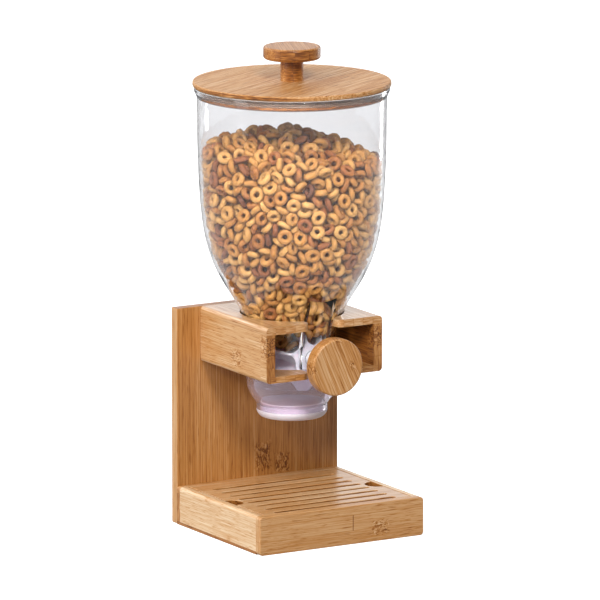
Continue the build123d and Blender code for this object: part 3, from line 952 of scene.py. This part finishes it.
@dataclass
class CerealRing:
    """One baked ring, in millimetres. Each shape is how far out of round and how thick it is."""

    radius: float = 6.6
    half_width: float = 2.4
    half_height: float = 2.65
    steps_round: int = 12
    steps_across: int = 6
    shapes: tuple[tuple[float, float], ...] = ((1.0, 1.0), (1.06, 0.95), (0.95, 1.06), (1.1, 1.0))

    def mesh(self, name: str, squash: float, swell: float) -> bpy.types.Mesh:
        """Spins one ring about Z, in metres, at the origin.

        Args:
            name: The mesh's name.
            squash: How far the ring is out of round, 1 for round.
            swell: How thick the ring is, 1 for the usual.

        Returns:
            The ring's mesh.
        """
        bm = bmesh.new()
        middle = (self.radius - self.half_width) * MM
        around = bmesh.ops.create_circle(bm, segments=self.steps_across, radius=1.0)["verts"]
        widths = (self.half_width * MM * swell, self.half_height * MM * swell, 1.0)
        upright = Matrix.Rotation(math.pi / 2, 3, "X")
        bmesh.ops.scale(bm, vec=widths, verts=around)
        bmesh.ops.rotate(bm, cent=(0, 0, 0), matrix=upright, verts=around)
        bmesh.ops.translate(bm, vec=(middle, 0, 0), verts=around)
        bmesh.ops.spin(
            bm,
            geom=bm.verts[:] + bm.edges[:],
            cent=(0, 0, 0),
            axis=(0, 0, 1),
            angle=2 * math.pi,
            steps=self.steps_round,
            use_merge=True,
        )
        bmesh.ops.remove_doubles(bm, verts=bm.verts[:], dist=0.01 * MM)
        bmesh.ops.scale(bm, vec=(squash, 1 / squash, 1.0), verts=bm.verts[:])
        bmesh.ops.recalc_face_normals(bm, faces=bm.faces[:])
        for face in bm.faces:
            face.smooth = True
        return finished_mesh(bm, name)


@dataclass
class Pile:
    """Rings packed into a space: their centres and the ways that their holes face, in millimetres.

    Two rings that overlap move apart and turn by a share of the overlap in each round, until
    they lie at closeness times the distance at which they would just touch.
    """

    centres: np.ndarray
    facing: np.ndarray
    ring: CerealRing = field(default_factory=CerealRing)
    closeness: float = 0.97
    push_share: float = 0.35
    turn_share: float = 0.035
    neighbour_reach: float = 2.6
    rounds_per_search: int = 8
    size_range: tuple[float, float] = (0.93, 1.05)
    toast_spread: tuple[float, float] = (1.5, 3.4)

    def reach(self, rows: np.ndarray, towards: np.ndarray) -> np.ndarray:
        """How far the rings of these rows reach in these directions."""
        along = np.einsum("ij,ij->i", self.facing[rows], towards)
        flat = self.ring.radius**2 * (1 - along**2)
        return np.sqrt(flat + (self.ring.half_height * along) ** 2)

    def settle(self, hold: Callable[["Pile"], None], steps: int, sink: float) -> None:
        """Pushes the rings apart until they lie side by side, and lets them sink.

        Args:
            hold: Puts back the rings that left their space.
            steps: How many rounds to run.
            sink: How far every ring sinks in each of the first two thirds of the rounds, in mm.
        """
        for step in range(steps):
            if step % self.rounds_per_search == 0:
                first, second = self._neighbours()
            gap = self.centres[second] - self.centres[first]
            length = np.maximum(np.linalg.norm(gap, axis=1), TINY)
            gap /= length[:, None]
            wanted = self.closeness * (self.reach(first, gap) + self.reach(second, gap))
            overlap = np.maximum(wanted - length, 0)
            push = gap * (self.push_share * overlap)[:, None]
            np.add.at(self.centres, first, -push)
            np.add.at(self.centres, second, push)
            for rows in (first, second):
                side = np.sign(np.einsum("ij,ij->i", self.facing[rows], gap))
                turn = gap * (self.turn_share * overlap * side)[:, None]
                np.add.at(self.facing, rows, turn)
            self.facing /= np.linalg.norm(self.facing, axis=1)[:, None]
            if step < steps * 2 // 3:
                self.centres[:, 2] -= sink
            hold(self)

    def _neighbours(self) -> tuple[np.ndarray, np.ndarray]:
        """Finds the pairs of rings that are near enough to touch soon."""
        apart = self.centres[:, None, :] - self.centres[None, :, :]
        most = (self.neighbour_reach * self.ring.radius) ** 2
        near = np.einsum("ijk,ijk->ij", apart, apart) < most
        return np.nonzero(np.triu(near, 1))

    def build(self, name: str, body: str, layer: str, rng: np.random.Generator) -> None:
        """Makes one mesh of all the rings and lets it ride on a body.

        Args:
            name: The piece's name.
            body: The body that it rides on.
            layer: The attribute that holds each ring's shade.
            rng: Draws the shades and small differences.
        """
        kinds = [self.ring.mesh(f"{name}_ring", *shape) for shape in self.ring.shapes]
        bm = bmesh.new()
        for centre, facing in zip(self.centres, self.facing):
            copy = kinds[rng.integers(len(kinds))].copy()
            spin = Matrix.Rotation(rng.uniform(0, 2 * math.pi), 4, "Z")
            aim = Vector(facing).to_track_quat("Z", "X").to_matrix().to_4x4()
            size = Matrix.Scale(rng.uniform(*self.size_range), 4)
            copy.transform(Matrix.Translation(Vector(centre) * MM) @ aim @ spin @ size)
            toast = np.full(len(copy.vertices), rng.beta(*self.toast_spread), np.float32)
            copy.attributes.new(layer, "FLOAT", "POINT").data.foreach_set("value", toast)
            bm.from_mesh(copy)
            bpy.data.meshes.remove(copy)
        for kind in kinds:
            bpy.data.meshes.remove(kind)
        piece = new_object(name, finished_mesh(bm, name))
        piece.data.materials.append(ToastedOat(f"toasted_{name}", layer).build())
        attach(piece, body)
        log.info("%s: %d rings", name, len(self.centres))


@dataclass
class Cereal:
    """The ring cereal in the hopper and in the rotor's upper pockets. Lengths are in millimetres.

    The heap's surface is a low dome, which falls by slope for each millimetre towards low_side.
    Every gap is the room that a ring's edge or centre keeps from the surface that it is named for.
    """

    seed: int = 7
    space_per_ring: float = 700.0
    heap_rounds: int = 90
    heap_sink: float = 0.12
    wall_top_z: float = 316.0
    heap_height: float = 22.0
    slope: float = 0.1
    low_side: tuple[float, float] = (0.862, -0.506)
    start_gap: float = 3.0
    wall_band: float = 7.0
    wall_facing: float = 1.5
    wall_gap: float = 0.5
    surface_gap: float = 2.0
    rotor_gap: float = 1.0
    pocket_rounds: int = 60
    pocket_rings: int = 11
    pocket_depths: tuple[float, float] = (14.0, 26.0)
    pocket_end_gap: float = 8.0
    pocket_gap: float = 1.2
    vane_gap: float = 1.3
    web_gap: float = 2.3
    vane_count: int = 6
    first_vane_deg: float = 46.0
    pockets: tuple[int, ...] = (0, 1, 5)
    toast_layer: str = "toast"
    wall_z: np.ndarray = field(init=False)
    wall_r: np.ndarray = field(init=False)
    axis_z: float = field(init=False)
    ball: float = field(init=False)
    half_length: float = field(init=False)

    def build_all(self) -> None:
        """Fills the hopper and the pockets."""
        rng = np.random.default_rng(self.seed)
        self._measure()
        heap = self._heap(rng)
        heap.settle(self._hold_in_hopper, self.heap_rounds, self.heap_sink)
        order = np.argsort(heap.centres[:, 2])
        third = len(order) // 3
        for name, rows in (
            ("cereal_low", order[:third]),
            ("cereal_middle", order[third : 2 * third]),
            ("cereal_top", order[2 * third :]),
        ):
            part = Pile(heap.centres[rows], heap.facing[rows])
            part.build(name, "container", self.toast_layer, rng)
        for number in self.pockets:
            pile = self._pocket(number, rng)
            pile.build(f"cereal_pocket_{number}", "rotor", self.toast_layer, rng)

    def _measure(self) -> None:
        """Reads the hopper's inner wall and the rotor's place from the frame."""
        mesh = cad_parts["hopper"].data
        widest: dict[float, float] = {}
        for face in mesh.polygons:
            out = Vector((face.center.x, face.center.y, 0)).normalized()
            if face.normal.dot(out) < -0.3:
                for index in face.vertices:
                    co = mesh.vertices[index].co
                    z, r = round(co.z / MM, 1), math.hypot(co.x, co.y) / MM
                    widest[z] = max(widest.get(z, 0.0), r)
        self.wall_z = np.array(sorted(widest))
        self.wall_r = np.array([widest[z] for z in sorted(widest)])
        low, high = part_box("rotor_vanes")
        self.axis_z = (low.z + high.z) / 2 / MM
        self.ball = (high.z - low.z) / 2 / MM + self.rotor_gap
        self.half_length = (high.y - low.y) / 2 / MM

    def _wall(self, z: np.ndarray) -> np.ndarray:
        """The inner radius at these heights."""
        return np.interp(z, self.wall_z, self.wall_r)

    def _top(self, x: np.ndarray, y: np.ndarray) -> np.ndarray:
        """The heap's surface over these points."""
        share = np.clip(np.hypot(x, y) / self._wall(np.array(self.wall_top_z)), 0, 1)
        drop = self.slope * (x * self.low_side[0] + y * self.low_side[1])
        return self.wall_top_z + self.heap_height * (1 - share**1.6) - drop

    def _heap(self, rng: np.random.Generator) -> Pile:
        """Scatters rings evenly through the space that the cereal fills."""
        floor = self.axis_z + self.ball
        most = self.wall_top_z + self.heap_height + 2 * self.start_gap
        wide = float(self.wall_r.max())
        box = (2 * wide) ** 2 * (most - floor)
        tries = int(box / self.space_per_ring)
        spots = rng.uniform((-wide, -wide, floor), (wide, wide, most), (tries, 3))
        r = np.hypot(spots[:, 0], spots[:, 1])
        in_wall = r < self._wall(spots[:, 2]) - self.start_gap
        under_top = spots[:, 2] < self._top(spots[:, 0], spots[:, 1]) - self.start_gap
        spots = spots[in_wall & under_top]
        facing = rng.normal(size=spots.shape)
        # Rings beside the wall tend to lie flat against it.
        near = self._wall(spots[:, 2]) - np.hypot(spots[:, 0], spots[:, 1]) < self.wall_band
        out = spots * (1, 1, 0)
        out /= np.linalg.norm(out, axis=1)[:, None]
        facing[near] = self.wall_facing * out[near] + facing[near]
        facing /= np.linalg.norm(facing, axis=1)[:, None]
        return Pile(spots, facing)

    def _hold_in_hopper(self, pile: Pile) -> None:
        """Keeps rings inside the wall, above the rotor and under the heap's surface."""
        rows = np.arange(len(pile.centres))
        flat = pile.centres * (1, 1, 0)
        r = np.maximum(np.linalg.norm(flat, axis=1), TINY)
        z = pile.centres[:, 2]
        slope = (self._wall(z + 1) - self._wall(z - 1)) / 2
        out = flat / r[:, None]
        normal = out - slope[:, None] * np.array(Z)
        normal /= np.linalg.norm(normal, axis=1)[:, None]
        lean = np.einsum("ij,ij->i", normal, out)
        excess = (r - self._wall(z)) * lean + pile.reach(rows, normal) + self.wall_gap
        pile.centres -= normal * np.maximum(excess, 0)[:, None]
        away = pile.centres - (0, 0, self.axis_z)
        distance = np.maximum(np.linalg.norm(away, axis=1), TINY)
        away /= distance[:, None]
        short = self.ball + pile.reach(rows, away) - distance
        pile.centres += away * np.maximum(short, 0)[:, None]
        top = self._top(pile.centres[:, 0], pile.centres[:, 1])
        pile.centres[:, 2] = np.minimum(pile.centres[:, 2], top - self.surface_gap)

    def _pocket(self, number: int, rng: np.random.Generator) -> Pile:
        """Fills one pocket between two vanes with a few rings.

        Args:
            number: The pocket's number, counted from the first vane.
            rng: Draws the rings' first places.

        Returns:
            The rings, settled.
        """
        middle = math.radians(self.first_vane_deg + (number + 0.5) * 360 / self.vane_count)
        half = math.pi / self.vane_count
        out = rng.uniform(*self.pocket_depths, self.pocket_rings)
        turn = middle + rng.uniform(-0.5, 0.5, self.pocket_rings) * half
        ends = self.half_length - self.pocket_end_gap
        y = rng.uniform(-1, 1, self.pocket_rings) * ends
        centres = np.stack([out * np.cos(turn), y, self.axis_z + out * np.sin(turn)], 1)
        facing = rng.normal(size=centres.shape)
        facing /= np.linalg.norm(facing, axis=1)[:, None]
        home = np.array((0.0, 0.0, self.axis_z))
        vanes = (
            np.array((math.sin(middle - half), 0.0, -math.cos(middle - half))),
            np.array((-math.sin(middle + half), 0.0, math.cos(middle + half))),
        )
        webs = (np.array((0.0, -1.0, 0.0)), np.array(Y))
        walls = [(vane, -self.vane_gap) for vane in vanes]
        walls += [(web, self.half_length - self.web_gap) for web in webs]

        def hold(pile: Pile) -> None:
            """Keeps rings between the two vanes, the webs and the ball that the vanes fill."""
            rows = np.arange(len(pile.centres))
            for wall, limit in walls:
                towards = np.repeat(wall[None, :], len(rows), 0)
                excess = (pile.centres - home) @ wall + pile.reach(rows, towards) - limit
                pile.centres -= wall * np.maximum(excess, 0)[:, None]
            away = pile.centres - home
            distance = np.maximum(np.linalg.norm(away, axis=1), TINY)
            away /= distance[:, None]
            excess = distance + pile.reach(rows, away) - (self.ball - self.pocket_gap)
            pile.centres -= away * np.maximum(excess, 0)[:, None]

        pile = Pile(centres, facing)
        pile.settle(hold, self.pocket_rounds, sink=0.0)
        return pile


# ---------------------------------------------------------------- studio


@dataclass(frozen=True)
class Softbox:
    """A lamp with a rectangular diffuser: where it stands, its size in metres and its watts."""

    name: str
    place: tuple[float, float, float]
    width: float
    height: float
    power: float


@dataclass
class Studio:
    """The floor, the lamps, the pale surroundings and the camera. Lengths are in metres."""

    view_azimuth_deg: float = 30.4
    view_pitch_deg: float = 11.27
    view_distance: float = 6.667
    view_target: tuple[float, float, float] = (0.00777, 0.0, 0.1926)
    lens_mm: float = 480.0
    sensor_mm: float = 36.0
    clip_end: float = 100.0
    floor_half: float = 12.0
    floor_glow: float = 0.45
    through_tone: float = 0.8
    through_glow: float = 0.4
    floor_stops: tuple[tuple[float, str], ...] = (
        (0.0, "#9A9A9A"),
        (0.8, "#E7E7E5"),
        (1.0, "#FBFBFB"),
    )
    key_from: tuple[float, float, float] = (-0.70, -0.42, 0.64)
    key_strength: float = 1.8
    key_width_deg: float = 20.0
    softboxes: tuple[Softbox, ...] = (
        Softbox("right_strip", (1.5, 0.55, 0.45), 0.22, 1.3, 5.0),
        Softbox("left_strip", (-1.7, 0.1, 0.6), 0.5, 1.4, 3.0),
        Softbox("front_fill", (-0.62, -1.67, 1.49), 0.4, 0.4, 27.0),
    )
    dark_side: tuple[float, float, float] = (0.5, -0.86, 0.0)
    room_strengths: tuple[float, float] = (1.15, 0.12)
    clear_strength: float = 0.85

    def build_all(self) -> None:
        """Sets up everything round the object."""
        self._floor()
        self._surroundings()
        self._key()
        for box in self.softboxes:
            self._softbox(box)
        self._camera()
        bpy.context.scene.view_settings.view_transform = "Standard"

    def _floor(self) -> None:
        """A plain pale paper floor that looks white, and throws back a greyer light."""
        bm = bmesh.new()
        bmesh.ops.create_grid(bm, x_segments=1, y_segments=1, size=self.floor_half)
        floor = new_object("floor", finished_mesh(bm, "floor"))
        material, add = new_material("matt_pale_paper")
        path = add("LightPath").outputs
        seen, through = path["Is Camera Ray"], path["Is Transmission Ray"]
        # Seen through the clear pieces it is pale too, but glows less.
        pale = add("Math", [through, self.through_tone], operation="MULTIPLY")
        pale = add("Math", [seen, pale], operation="MAXIMUM")
        lit = add("Math", [through, self.through_glow], operation="MULTIPLY")
        lit = add("Math", [seen, lit], operation="MAXIMUM")
        surface(
            add,
            {
                "Base Color": add("ValToRGB", [pale], self.floor_stops),
                "Roughness": 0.9,
                "Specular IOR Level": 0.1,
                "Emission Color": linear("#FFFFFF"),
                "Emission Strength": add("Math", [lit, self.floor_glow], operation="MULTIPLY"),
            },
        )
        floor.data.materials.append(material)

    def _surroundings(self) -> None:
        """A pale room, darker on the side of the camera, which gives the clear pieces edges."""
        world = bpy.data.worlds.new("pale_room")
        world.use_nodes = True
        bpy.context.scene.world = world
        world.node_tree.nodes.clear()
        add = partial(add_node, world.node_tree)
        direction = add("TexCoord").outputs["Generated"]
        towards = add("VectorMath", [direction, self.dark_side], operation="DOT_PRODUCT")
        fade = [towards.outputs["Value"], -0.9, 0.9, *self.room_strengths]
        dim = add("MapRange", fade, interpolation_type="SMOOTHSTEP")
        path = add("LightPath").outputs
        through = [path["Is Transmission Ray"], self.clear_strength]
        clear = add("Math", through, operation="MULTIPLY")
        strength = add("Math", [dim, path["Is Camera Ray"]], operation="MAXIMUM")
        strength = add("Math", [strength, clear], operation="MAXIMUM")
        background = add("Background", {"Color": linear("#FDFDFF"), "Strength": strength})
        add("OutputWorld", {"Surface": background})

    def _key(self) -> None:
        """The main light: broad and soft, from the upper left."""
        light = bpy.data.lights.new("key", "SUN")
        light.energy = self.key_strength
        light.angle = math.radians(self.key_width_deg)
        # The sun's hard disc isn't mirrored in the clear wall, only the strips are.
        self._lamp(light, Vector(self.key_from)).visible_glossy = False

    def _softbox(self, box: Softbox) -> None:
        """Adds a softbox that faces the object."""
        light = bpy.data.lights.new(box.name, "AREA")
        light.shape = "RECTANGLE"
        light.size, light.size_y = box.width, box.height
        light.energy = box.power
        self._lamp(light, Vector(box.place))

    def _lamp(self, light: bpy.types.Light, place: Vector) -> bpy.types.Object:
        """Puts a light here, aimed at the object, and returns it."""
        return self._stand(light, place, Vector(self.view_target) - place)

    def _stand(self, data: bpy.types.ID, place: Vector, way: Vector) -> bpy.types.Object:
        """Puts a lamp or the camera here, looking this way, and returns its object."""
        thing = new_object(data.name, data)
        thing.location = place
        thing.rotation_mode = "QUATERNION"
        thing.rotation_quaternion = way.to_track_quat("-Z", "Y")
        return thing

    def _camera(self) -> None:
        """A long lens from the front left, a little above."""
        a, e = math.radians(self.view_azimuth_deg), math.radians(self.view_pitch_deg)
        ahead = Vector((math.sin(a) * math.cos(e), math.cos(a) * math.cos(e), -math.sin(e)))
        data = bpy.data.cameras.new("camera")
        data.sensor_width = self.sensor_mm
        data.lens = self.lens_mm
        data.clip_end = self.clip_end
        place = Vector(self.view_target) - ahead * self.view_distance
        bpy.context.scene.camera = self._stand(data, place, ahead)


def main() -> None:
    """Builds the studio, dresses every part and adds the cereal."""
    logging.basicConfig(level=logging.INFO, format="%(name)s: %(message)s")
    Studio().build_all()
    for assembly in (Stand(), Grille(), Container(), Rotor(), Lid(), OutletCap()):
        assembly.dress_all()
    Cereal().build_all()


if __name__ == "__main__":
    main()
